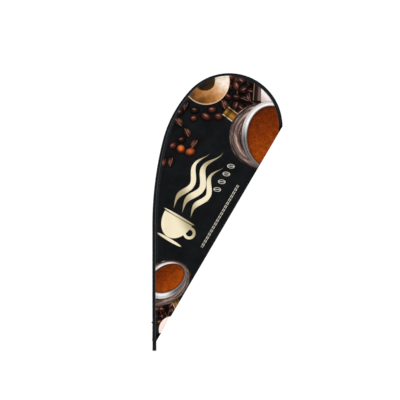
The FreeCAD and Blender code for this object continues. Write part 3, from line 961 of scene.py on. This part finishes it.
def build_ornament():
    """The ornament in its turned view: x runs along the slant and y aside, in metres. An oval
    is where the length in its own view is under 1, and a ring is where it is near its radius.
    A row repeats by wrapping the distance along it into one pitch."""
    tree, given, end = new_group("ornament", {"Spot": ORIGIN}, {"Cream": "value", "Thin": "value"})
    along, aside = apart(tree, given["Spot"])
    mask = 0.0
    for start, stop, middle, swing, wave, thick in CURLS:
        sizes = {"Start": start, "End": stop, "Aside": middle, "Swing": swing, "Wave": wave, "Thick": thick}
        mask = larger(tree, mask, use(tree, curl_group, Spot=given["Spot"], **sizes)["Mask"])
    # The cup: half an oval below its brim, a brim line, a handle ring and a saucer.
    bowl = length_of(tree, inside(tree, given["Spot"], (-0.180, 0, 0), (0.150, 0.108, 1)))
    bowl = times(tree, rise(tree, bowl, 1.01, 0.99), rise(tree, along, -0.179, -0.181))
    brim = length_of(tree, inside(tree, given["Spot"], (-0.168, 0, 0), (0.0075, 0.116, 1)))
    ring = length_of(tree, vectors(tree, "SUBTRACT", given["Spot"], (-0.232, -0.118, 0)))
    ring = rise(tree, size_of(tree, less(tree, ring, 0.034)), 0.0105, 0.0090)
    saucer = length_of(tree, inside(tree, given["Spot"], (-0.343, -0.020, 0), (0.010, 0.092, 1)))
    for part in (bowl, rise(tree, brim, 1.1, 0.95), ring, rise(tree, saucer, 1.1, 0.95)):
        mask = larger(tree, mask, part)
    # A row of small open ovals beside it, each with a line across.
    row_along = less(tree, along, 0.225)
    step = maths(tree, "WRAP", plus(tree, row_along, OVAL_HALF_PITCH), OVAL_HALF_PITCH, -OVAL_HALF_PITCH)
    near = combine(tree, step, plus(tree, aside, 0.132))
    oval = length_of(tree, inside(tree, near, ORIGIN, (0.015, 0.026, 1), OVAL_TILT))
    oval = rise(tree, size_of(tree, less(tree, oval, 0.9)), 0.14, 0.08)
    line_x, line_y = apart(tree, inside(tree, near, ORIGIN, (1, 1, 1), OVAL_TILT))
    thin = rise(tree, size_of(tree, line_x), 0.0024, 0.0016)
    short = rise(tree, size_of(tree, line_y), 0.024, 0.022)
    row = larger(tree, oval, times(tree, thin, short))
    row = times(tree, row, rise(tree, size_of(tree, row_along), 0.127, 0.1255))
    # Two fine dashed lines by the free edge.
    dash_step = size_of(tree, maths(tree, "WRAP", along, DASH_HALF_PITCH, -DASH_HALF_PITCH))
    from_lines = size_of(tree, less(tree, size_of(tree, plus(tree, aside, 0.2435)), 0.0055))
    dashes = times(tree, rise(tree, dash_step, 0.0115, 0.0105), rise(tree, from_lines, 0.0028, 0.0020))
    dashes = times(tree, dashes, rise(tree, size_of(tree, plus(tree, along, 0.022)), 0.253, 0.251))
    return end(Cream=mask, Thin=larger(tree, row, dashes))


ornament_group = build_ornament()

# %% [markdown]
# ## The whole print
#
# The picture is laid down as a painter would: slate first, then the heaps, the loose beans,
# the cups and holders over them, and the ornament last. Each loose bean has a place in
# metres on the flag, its half length and half width, its turn in degrees, its roast, and how
# much its crease and its highlight show.

# %% Loose beans
LOOSE_BEANS = [
    (0.485, 1.723, 0.036, 0.029, -60, 0.33, 1.0, 0.4),
    (0.404, 1.683, 0.032, 0.024, 5, 0.66, 0.0, 0.9),
    (0.357, 1.636, 0.040, 0.026, -28, 0.66, 0.0, 1.0),
    (0.451, 1.636, 0.033, 0.028, 10, 0.66, 0.0, 0.6),
    (0.281, 1.680, 0.031, 0.025, 0, 0.0, 0.0, 0.6),
    (0.276, 1.623, 0.027, 0.024, 15, 0.66, 0.0, 0.8),
    (0.219, 1.711, 0.032, 0.024, 70, 0.0, 0.6, 0.3),
    (0.182, 1.667, 0.028, 0.025, 35, 0.0, 0.0, 0.6),
    (0.169, 1.599, 0.036, 0.030, -40, 0.33, 1.0, 0.4),
    (0.228, 1.527, 0.034, 0.027, -55, 0.33, 1.0, 0.5),
    (0.191, 1.474, 0.030, 0.025, 20, 0.0, 0.0, 0.5),
    (0.279, 1.446, 0.037, 0.026, 60, 0.33, 1.0, 0.3),
    (0.132, 1.433, 0.029, 0.024, 40, 0.66, 0.0, 0.7),
    (0.185, 1.411, 0.029, 0.029, 0, 1.0, 0.0, 0.7),
    (0.251, 1.389, 0.037, 0.028, 12, 0.86, 0.0, 0.4),
    (0.069, 1.317, 0.030, 0.021, 80, 0.66, 0.3, 0.6),
    (0.116, 1.320, 0.034, 0.023, 80, 0.33, 1.0, 0.4),
    (0.036, 0.200, 0.020, 0.013, 35, 0.7, 0.0, 1.0),
]


FAR_OFF = 9.0  # further from a bean's middle, in its own view, than its shadow reaches


def build_bean_spot():
    """If the spot is on this bean, passes on its view of the spot and its kind. If not,
    passes on what came before. Near is how close the spot is to any bean so far."""
    names = ["Spot", "Middle", "Half", "Turn", "Kind", "Last Local", "Last Kind"]
    inputs = {name: ORIGIN for name in names} | {"Last Near": FAR_OFF}
    tree, given, end = new_group("bean_spot", inputs, {"Local": "vector", "Kind": "vector", "Near": "value"})
    local = inside(tree, given["Spot"], given["Middle"], given["Half"], given["Turn"])
    reach = length_of(tree, local)
    here = maths(tree, "LESS_THAN", reach, 1.03)
    chosen = choose(tree, here, given["Last Local"], local)
    kind = choose(tree, here, given["Last Kind"], given["Kind"])
    return end(Local=chosen, Kind=kind, Near=maths(tree, "MINIMUM", given["Last Near"], reach))


bean_spot_group = build_bean_spot()


def build_loose_beans():
    """Passes the spot along the chain of beans, and draws the one bean that it is left with.
    The shadow is a soft border round every bean."""
    tree, given, end = new_group("loose_beans", {"Spot": ORIGIN}, PICTURE | {"Shadow": "value"})
    local, kind, near = (FAR_OFF, FAR_OFF, 0), ORIGIN, FAR_OFF
    for x, z, long, wide, turn, roast, crease, shine in LOOSE_BEANS:
        shape = {"Middle": (x, z, 0), "Half": (long, wide, 1), "Turn": (0, 0, math.radians(turn))}
        shape |= {"Kind": (roast, crease, shine), "Last Local": local, "Last Kind": kind, "Last Near": near}
        local, kind, near = use(tree, bean_spot_group, Spot=given["Spot"], **shape)
    pick = place(tree, "ShaderNodeSeparateXYZ", {"Vector": kind}).outputs
    stops = [(0.0, 40, 22, 18), (0.33, 82, 48, 38), (0.66, 86, 42, 32), (1.0, 206, 98, 38)]
    bean = use(tree, bean_group, Local=local, Roast=ramp(tree, pick[0], stops), Crease=pick[1], Shine=pick[2])
    return end(Colour=bean["Colour"], Mask=bean["Mask"], Shadow=rise(tree, near, 1.45, 1.0))


loose_group = build_loose_beans()


# %% Brass and neck
def build_machine():
    """What shows behind the upper holder: a dark neck with a brass edge, a brass lug that
    stands out of the holder, and a pale wall."""
    tree, given, end = new_group("machine", {"Spot": ORIGIN, "Lug": ORIGIN}, PICTURE)
    x, z = apart(tree, given["Spot"])
    across, up = apart(tree, inside(tree, given["Spot"], (0.722, 1.822, 0), (0.028, 0.072, 1), -4))
    in_neck = times(tree, edge(tree, across), edge(tree, up))
    stops = [(0.0, 96, 70, 50), (0.05, 142, 114, 88), (0.11, 20, 9, 8), (0.5, 40, 22, 20)]
    stops += [(0.75, 112, 90, 84), (0.9, 70, 52, 48), (1.0, 150, 130, 126)]
    colour = ramp(tree, times_plus(tree, across, 0.5, 0.5), stops)
    across, up = apart(tree, given["Lug"])
    in_lug = times(tree, edge(tree, across), edge(tree, up))
    stops = [(0.0, 236, 218, 196), (0.12, 104, 74, 30), (0.45, 158, 108, 34), (0.75, 96, 58, 18)]
    stops += [(0.9, 60, 34, 16), (1.0, 216, 186, 150)]
    lug = ramp(tree, times_plus(tree, up, 0.5, 0.5), stops)
    folds = maths(tree, "SINE", times_plus(tree, across, 3.4, 2.6))
    lug = paint(tree, lug, ink(34, 18, 8), times(tree, rise(tree, folds, 0.1, 0.95), 0.7))
    colour = paint(tree, colour, lug, in_lug)
    in_wall = times(tree, rise(tree, x, 0.745, 0.749), rise(tree, z, 1.66, 1.68))
    lit = rise(tree, plus(tree, x, z), 2.49, 2.62)
    colour = paint(tree, colour, paint(tree, ink(184, 162, 155), ink(242, 240, 239), lit), in_wall)
    mask = larger(tree, larger(tree, in_neck, in_lug), in_wall)
    return end(Colour=colour, Mask=mask)


machine_group = build_machine()


# %% Print
SLANT = math.degrees(math.atan2(EDGE_RUN[1], EDGE_RUN[0]))


MIDDLE_HEIGHT = 1.0
# Where each part lies in the low picture and in the high one: its middle and its half size.
HEAPS = [((0.070, 0.268, 0), (0.120, 0.098, 1)), ((0.615, 1.815, 0), (0.165, 0.175, 1))]
LUGS = [((0.150, 0.336, 0), (0.040, 0.024, 1)), ((0.532, 1.654, 0), (0.044, 0.035, 1))]
HOLDER_OVALS = {
    "Body": [((0.062, 0.470, 0), (0.205, 0.146, 1)), ((0.785, 1.502, 0), (0.266, 0.238, 1))],
    "Ring": [((0.079, 0.491, 0), (0.159, 0.118, 1)), ((0.816, 1.507, 0), (0.2065, 0.240, 1))],
    "Grounds": [((0.090, 0.507, 0), (0.132, 0.089, 1)), ((0.816, 1.495, 0), (0.168, 0.217, 1))],
}
TAIL_BLACK = 0.1225  # height under which the print is plain black


def build_print():
    """The picture at a spot of the flag, from the lowest layer to the top one. The heaps, lugs
    and filter holders come twice, and their sizes are chosen by which half the spot is in."""
    tree, given, end = new_group("flag_print", {"Place": ORIGIN}, {"Colour": "colour"})
    x, _, z = place(tree, "ShaderNodeSeparateXYZ", {"Vector": given["Place"]}).outputs
    spot = combine(tree, x, z)
    high = maths(tree, "GREATER_THAN", z, MIDDLE_HEIGHT)

    def lay(under, shown):
        """Paints a group's colour over the picture where its mask is 1."""
        return paint(tree, under, shown["Colour"], shown["Mask"])

    def either(low_value, high_value):
        """One vector below the middle of the flag and another above it."""
        return choose(tree, high, low_value, high_value)

    def sizes_of(low_part, high_part):
        """The middle and half size of a part that comes low and high."""
        return [either(low_value, high_value) for low_value, high_value in zip(low_part, high_part)]

    slate = times_plus(tree, noise(tree, spot, 9.0, 5.0, 0.65), 1.4, -0.2)
    colour = paint(tree, ink(3, 4, 4), ink(23, 25, 27), slate)
    size = times_plus(tree, high, 0.024, 0.036)
    middle, half = sizes_of(*HEAPS)
    colour = lay(colour, use(tree, heap_group, Place=spot, Size=size, Middle=middle, Half=half))
    beans = use(tree, loose_group, Spot=spot)
    colour = paint(tree, colour, ink(5, 4, 4), times(tree, beans["Shadow"], 0.75))
    colour = lay(colour, beans)
    cup = inside(tree, spot, (0.362, 1.885, 0), (0.1645, 0.1645, 1))
    colour = lay(colour, use(tree, cup_group, Local=cup, Place=spot))
    turn = either((0, 0, math.radians(-66)), (0, 0, math.radians(-37)))
    lug = inside(tree, spot, *sizes_of(*LUGS), turn)
    colour = lay(colour, use(tree, machine_group, Spot=spot, Lug=lug))
    turn = either((0, 0, math.radians(31)), ORIGIN)
    ovals = {name: inside(tree, spot, *sizes_of(*parts), turn) for name, parts in HOLDER_OVALS.items()}
    shine = {"Light": times_plus(tree, high, -0.85, 2.6), "Spread": times_plus(tree, high, 0.7, -0.08)}
    colour = lay(colour, use(tree, holder_group, Place=spot, **ovals, **shine))
    # The pale dish by the tail, with the black of the tail below it.
    dish = length_of(tree, vectors(tree, "SUBTRACT", spot, (0.1254, 0.1457, 0)))
    lean = rise(tree, less(tree, x, times(tree, z, 0.3)), -0.005, 0.06)
    dish_colour = paint(tree, ink(236, 218, 208), ink(250, 246, 243), lean)
    colour = paint(tree, colour, dish_colour, rise(tree, dish, 0.0955, 0.0935))
    colour = paint(tree, colour, ink(12, 12, 13), rise(tree, z, TAIL_BLACK + 0.001, TAIL_BLACK - 0.001))
    # The ornament lies in a view turned to the slant of the free edge.
    turned = inside(tree, spot, (0.2597, 1.082, 0), (1, 1, 1), SLANT)
    drawn = use(tree, ornament_group, Spot=turned)
    along, aside = apart(tree, turned)
    sheen = maths(tree, "SINE", times_plus(tree, along, 17.0, times(tree, aside, -9.0)))
    cream = paint(tree, ink(160, 146, 112), ink(224, 213, 184), rise(tree, sheen, -1.0, 0.55))
    colour = paint(tree, colour, cream, drawn["Cream"])
    colour = paint(tree, colour, ink(186, 181, 168), drawn["Thin"])
    return end(Colour=colour)


print_group = build_print()
print("the ornament lies at", round(SLANT, 1), "degrees")

# %% [markdown]
# ## Cloth finishes
#
# Flag cloth is a fine warp knit. Seen close, it is rows of small loops, and from a step away
# only an even matt surface is left. The loops could be a picture of cloth, but that repeats
# and blurs, so the group below works out their height and a slight change of shade: painted
# shade in their hollows, mixed with slow slubs of random tone. Webbing and the sleeve use the
# same group with pitches of their own.

# %% Weave
def build_weave():
    """Loops as the product of two sine waves, warp and weft, one pitch long and square to
    each other, with slow slubs of noise added. Shade mixes painted shade, low in the loops'
    hollows, with the slubs' random tone."""
    inputs = {"Place": ORIGIN, "Pitch": 0.0012, "Slant": 0.5}
    tree, given, end = new_group("weave", inputs, {"Height": "value", "Shade": "value"})
    x, y, z = place(tree, "ShaderNodeSeparateXYZ", {"Vector": given["Place"]}).outputs
    across = plus(tree, x, y)
    turns = maths(tree, "DIVIDE", math.tau, given["Pitch"])
    warp = maths(tree, "SINE", times(tree, times_plus(tree, z, given["Slant"], across), turns))
    weft = maths(tree, "SINE", times(tree, less(tree, z, times(tree, across, given["Slant"])), turns))
    loops = times_plus(tree, times(tree, warp, weft), 0.5, 0.5)
    slubs = noise(tree, given["Place"], 35.0, 4.0, 0.6)
    height = times_plus(tree, slubs, 0.5, loops)
    return end(Height=height, Shade=times_plus(tree, loops, 0.5, times(tree, slubs, 0.5)))


weave_group = build_weave()


# %% Cloth material
def new_material(name):
    """A material with its Principled shader and Object coordinates."""
    material = bpy.data.materials.new(name)
    material.use_nodes = True
    tree = material.node_tree
    shader = tree.nodes["Principled BSDF"]
    where = tree.nodes.new("ShaderNodeTexCoord").outputs["Object"]
    return material, tree, shader, where


def bump(tree, shader, height, distance, strength):
    """Feeds a height to the shader's normal."""
    inputs = {"Height": height, "Distance": distance, "Strength": strength}
    feed(tree, shader.inputs["Normal"], place(tree, "ShaderNodeBump", inputs).outputs["Normal"])


def cloth_material(name, colour_of, pitch, slant, depth, hollow_shade_by, rough=0.85, specular=0.04):
    """Woven or knitted cloth. colour_of(tree, where) gives its colour before the weave, whose
    hollows get painted shade, darker by hollow_shade_by. Pitch and depth are the loops', in metres."""
    material, tree, shader, where = new_material(name)
    weave = use(tree, weave_group, Place=where, Pitch=pitch, Slant=slant)
    colour = colour_of(tree, where)
    # Painted shade in the knit's hollows, mixed with the slubs' random tone, darkens towards near black.
    knit_shade = times(tree, rise(tree, weave["Shade"], 0.85, 0.15), hollow_shade_by)
    feed(tree, shader.inputs["Base Color"], paint(tree, colour, ink(4, 4, 5), knit_shade))
    shader.inputs["Roughness"].default_value = rough
    shader.inputs["Specular IOR Level"].default_value = specular
    bump(tree, shader, weave["Height"], depth, 0.6)
    return material


def printed(tree, where):
    """The print alone."""
    return use(tree, print_group, Place=where)["Colour"]


def printed_sleeve(tree, where):
    """Black cloth with a painted highlight, a pale sheen along the fold where it turns into the
    seam, and the print on the side where the panel's picture runs on to it."""
    past = place(tree, "ShaderNodeAttribute", {}, attribute_name="past_print_line").outputs["Fac"]
    fold_sheen = place(tree, "ShaderNodeAttribute", {}, attribute_name="painted_fold_sheen").outputs["Fac"]
    fold_sheen = times(tree, fold_sheen, noise(tree, where, 40.0, 3.0, 0.6))
    # Painted highlight: the fold's sheen, lightened towards a pale blue grey.
    cloth = paint(tree, black_cloth(tree, where), ink(74, 82, 90), fold_sheen)
    return paint(tree, cloth, printed(tree, where), rise(tree, past, -0.0006, 0.0006))


def black_cloth(tree, where):
    """Nearly black, with slow changes of shade."""
    return paint(tree, ink(2, 5, 7), ink(9, 13, 17), noise(tree, where, 14.0, 4.0, 0.6))


def black_tape(tree, where):
    """A black with a little more grey, as in webbing."""
    return paint(tree, ink(10, 10, 12), ink(26, 27, 30), noise(tree, where, 60.0, 3.0, 0.6))


panel_cloth = cloth_material("printed_knit", printed, 0.0013, 0.5, 0.00012, 0.10)
gloss = {"rough": 0.4, "specular": 0.09}
sleeve_cloth = cloth_material("black_sleeve_weave", printed_sleeve, 0.0009, 0.0, 0.00003, 0.25, **gloss)
patch_cloth = cloth_material("black_patch_weave", black_cloth, 0.0010, 0.2, 0.00018, 0.25)
tape_cloth = cloth_material("webbing", black_tape, 0.0022, 1.0, 0.0004, 0.35, rough=0.7, specular=0.12)

cloth_pieces = {
    panel_cloth: [panel, hem],
    sleeve_cloth: [sleeve],
    patch_cloth: [tail_piece, tip_piece],
    tape_cloth: [cuff],
}
for material, pieces in cloth_pieces.items():
    for piece in pieces:
        piece.data.materials.append(material)
    print(material.name, "on", [piece.name for piece in pieces])

# %% [markdown]
# ## Thread, plastic and metal
#
# The hard pieces are small, and most of them are hidden in the mast. Each could be a plain
# colour, but close by it would look like clay, so each gets the finish of its real material:
# drawn metal with fine lines along its length, moulded plastic with a faint grain, and thread
# with a twist. A coated metal is black paint or oxide, so its shader isn't metallic.

# %% Lines and grain
def build_drawn():
    """Fine lines along Z with blotches: a tube's drawn or anodised surface."""
    outputs = {"Lines": "value", "Blotch": "value"}
    tree, given, end = new_group("drawn_lines", {"Place": ORIGIN, "Fine": 900.0}, outputs)
    squashed = vectors(tree, "MULTIPLY", given["Place"], (1.0, 1.0, 0.02))
    lines = noise(tree, squashed, given["Fine"], 3.0, 0.65)
    return end(Lines=lines, Blotch=noise(tree, given["Place"], 26.0, 4.0, 0.6))


drawn_group = build_drawn()


def build_grain():
    """The fine pebbled grain of a mould, with scuffs."""
    outputs = {"Grain": "value", "Scuff": "value"}
    tree, given, end = new_group("moulded_grain", {"Place": ORIGIN, "Fine": 1600.0}, outputs)
    grain = noise(tree, given["Place"], given["Fine"], 2.0, 0.5)
    return end(Grain=grain, Scuff=noise(tree, given["Place"], 90.0, 5.0, 0.7))


grain_group = build_grain()


# %% Hard materials
def metal_material(name, low, high, rough, fine=900.0, coated=False):
    """Drawn metal between two colours. A coated one is anodised or blackened."""
    material, tree, shader, where = new_material(name)
    drawn = use(tree, drawn_group, Place=where, Fine=fine)
    feed(tree, shader.inputs["Base Color"], paint(tree, low, high, rise(tree, drawn["Blotch"], 0.3, 0.7)))
    feed(tree, shader.inputs["Roughness"], times_plus(tree, drawn["Lines"], 0.25, rough - 0.1))
    shader.inputs["Metallic"].default_value = 0.0 if coated else 1.0
    shader.inputs["Specular IOR Level"].default_value = 0.1 if coated else 0.5
    bump(tree, shader, drawn["Lines"], 0.00004, 0.4)
    return material


def moulded_material(name, low, high, rough, fine=1600.0):
    """Moulded plastic or rubber."""
    material, tree, shader, where = new_material(name)
    grain = use(tree, grain_group, Place=where, Fine=fine)
    feed(tree, shader.inputs["Base Color"], paint(tree, low, high, rise(tree, grain["Scuff"], 0.35, 0.7)))
    feed(tree, shader.inputs["Roughness"], times_plus(tree, grain["Scuff"], 0.3, rough - 0.12))
    bump(tree, shader, grain["Grain"], 0.00003, 0.5)
    return material


def thread_material(name, low, high):
    """Twisted thread: slanting ridges finer than a stitch, with painted shade between them."""
    material, tree, shader, where = new_material(name)
    weave = use(tree, weave_group, Place=where, Pitch=0.0007, Slant=1.0)
    # Painted shade: the thread is darker in the hollows of its twist.
    feed(tree, shader.inputs["Base Color"], paint(tree, low, high, weave["Shade"]))
    shader.inputs["Roughness"].default_value = 0.6
    bump(tree, shader, weave["Height"], 0.0001, 0.6)
    return material


seam_stitches.data.materials.append(thread_material("grey_thread", ink(44, 45, 48), ink(84, 85, 88)))
hem_stitches.data.materials.append(thread_material("dark_thread", ink(26, 20, 18), ink(56, 46, 42)))
spring.data.materials.append(metal_material("blued_spring_steel", ink(70, 74, 86), ink(104, 108, 120), 0.3))
black_metal = metal_material("blackened_steel", ink(20, 21, 22), ink(40, 41, 43), 0.38, coated=True)
eyelet.data.materials.append(black_metal)
fibreglass = moulded_material("ground_fibreglass", ink(22, 22, 22), ink(38, 38, 37), 0.32, fine=700.0)
bright_aluminium = metal_material("bright_aluminium", ink(176, 178, 182), ink(206, 208, 210), 0.3)
black_plastic = moulded_material("black_moulding", ink(18, 18, 20), ink(34, 34, 36), 0.42)
finishes = {
    "lower_tube": metal_material("black_anodised_tube", ink(6, 7, 8), ink(15, 16, 18), 0.34, coated=True),
    "middle_tube": fibreglass,
    "tip_tube": fibreglass,
    "upper_spigot": fibreglass,
    "lower_spigot": bright_aluminium,
    "lower_joint_band": bright_aluminium,
    "upper_joint_band": bright_aluminium,
    "tip_cap": moulded_material("cap_rubber", ink(20, 20, 20), ink(32, 32, 32), 0.7, fine=1100.0),
    "lock_button": black_plastic,
    "swivel_bush": black_plastic,
    "thrust_washer": moulded_material("nylon_washer", ink(60, 60, 58), ink(88, 88, 84), 0.4),
    "bush_retaining_pins": black_metal,
}
for name, material in finishes.items():
    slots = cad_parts[name].data.materials
    slots.clear()
    slots.append(material)
print(len(finishes), "CAD nodes have", len(set(finishes.values())), "finishes")

# %% [markdown]
# ## Thickening the panel and hiding the replaced nodes
#
# The panel is thickened to the thickness of its cloth. Each new piece is listed with the CAD
# node that it stands for and a material slot's name. Only the node is used here, and it is
# hidden. The spring, which narrows as the button is pressed, gets a mesh of its own. The
# panel and the sleeve are sheets of cloth, stretched between their edges and over the mast.

# %% Thicken the panel and hide the replaced nodes
CLOTH_THICKNESS = 0.0004
thicken = panel.modifiers.new("cloth", "SOLIDIFY")
thicken.thickness = CLOTH_THICKNESS
thicken.offset = 0.0
for piece, node, slot in [
    (panel, "printed_panel", "printed_cloth"),
    (hem, "free_edge_hem", "hem_cloth"),
    (sleeve, "pole_sleeve", "sleeve_cloth"),
    (cuff, "sleeve_cuff", "webbing"),
    (eyelet, "sleeve_eyelet", "blackened_steel"),
    (spring, "button_spring", "spring_steel"),
    (tail_piece, "tail_patch", "patch_cloth"),
    (tip_piece, "tip_patch", "webbing"),
]:
    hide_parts(node)

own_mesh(spring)

# %% [markdown]
# ## Floor, light and camera
#
# A pale floor and an even white surround keep the print's colours true. A tall, narrow lamp
# far to the right in front and a broad, weaker one behind give the round sleeve its form. The
# camera stands far off with a long lens, square to the flag, so that the outline isn't
# distorted.

# %% Floor
FLOOR_HALF, FLOOR_DROP = 30.0, 0.002
corners = np.array([[-1, -1], [1, -1], [1, 1], [-1, 1]]) * FLOOR_HALF
floor_points = np.column_stack([corners, np.full(4, -FLOOR_DROP)])
floor_mesh = bpy.data.meshes.new("floor")
floor_mesh.from_pydata(floor_points.tolist(), [], [(0, 1, 2, 3)])
floor = bpy.data.objects.new("floor", floor_mesh)
bpy.context.scene.collection.objects.link(floor)
floor_material, floor_tree, floor_shader, floor_where = new_material("pale_floor")
pale = paint(floor_tree, ink(250, 250, 249), ink(254, 254, 254), noise(floor_tree, floor_where, 0.6, 2.0))
feed(floor_tree, floor_shader.inputs["Base Color"], pale)
floor_shader.inputs["Roughness"].default_value = 0.9
floor_mesh.materials.append(floor_material)
print("floor", 2 * FLOOR_HALF, "m wide")

# %% Light
world = bpy.data.worlds.new("surround")
world.use_nodes = True
world.node_tree.nodes["Background"].inputs["Color"].default_value = (1.0, 1.0, 1.0, 1.0)
world.node_tree.nodes["Background"].inputs["Strength"].default_value = 1.06
bpy.context.scene.world = world


def soft_lamp(name, spot, aim, wide, tall, power):
    """An area lamp at one point, facing another."""
    lamp = bpy.data.lights.new(name, "AREA")
    lamp.shape, lamp.size, lamp.size_y, lamp.energy = "RECTANGLE", wide, tall, power
    holder = bpy.data.objects.new(name, lamp)
    bpy.context.scene.collection.objects.link(holder)
    holder.location = spot
    away = holder.location - Vector(aim)
    holder.rotation_euler = away.to_track_quat("Z", "Y").to_euler()
    print(name, power, "W")


soft_lamp("key_lamp", (4.9, -3.2, 1.7), (0.2, 0, 1.7), 0.5, 3.2, 110)
soft_lamp("fill_lamp", (3.5, 4.5, 3.0), (0.4, 0, 1.1), 2.5, 2.5, 60)

# %% Camera
VIEW_WIDTH = 2.8  # metres across the view at the flag
VIEW_MIDDLE = (0.319, 1.054)  # x and z
FOCAL, SENSOR = 200.0, 36.0
camera_data = bpy.data.cameras.new("camera")
camera_data.lens, camera_data.sensor_width = FOCAL, SENSOR
camera = bpy.data.objects.new("camera", camera_data)
bpy.context.scene.collection.objects.link(camera)
camera.location = (VIEW_MIDDLE[0], -VIEW_WIDTH * FOCAL / SENSOR, VIEW_MIDDLE[1])
camera.rotation_euler = (math.pi / 2, 0, 0)
camera_data.clip_end = 200
bpy.context.scene.camera = camera
bpy.context.scene.view_settings.view_transform = "Standard"
print("camera", round(-camera.location.y, 2), "m in front of the flag")
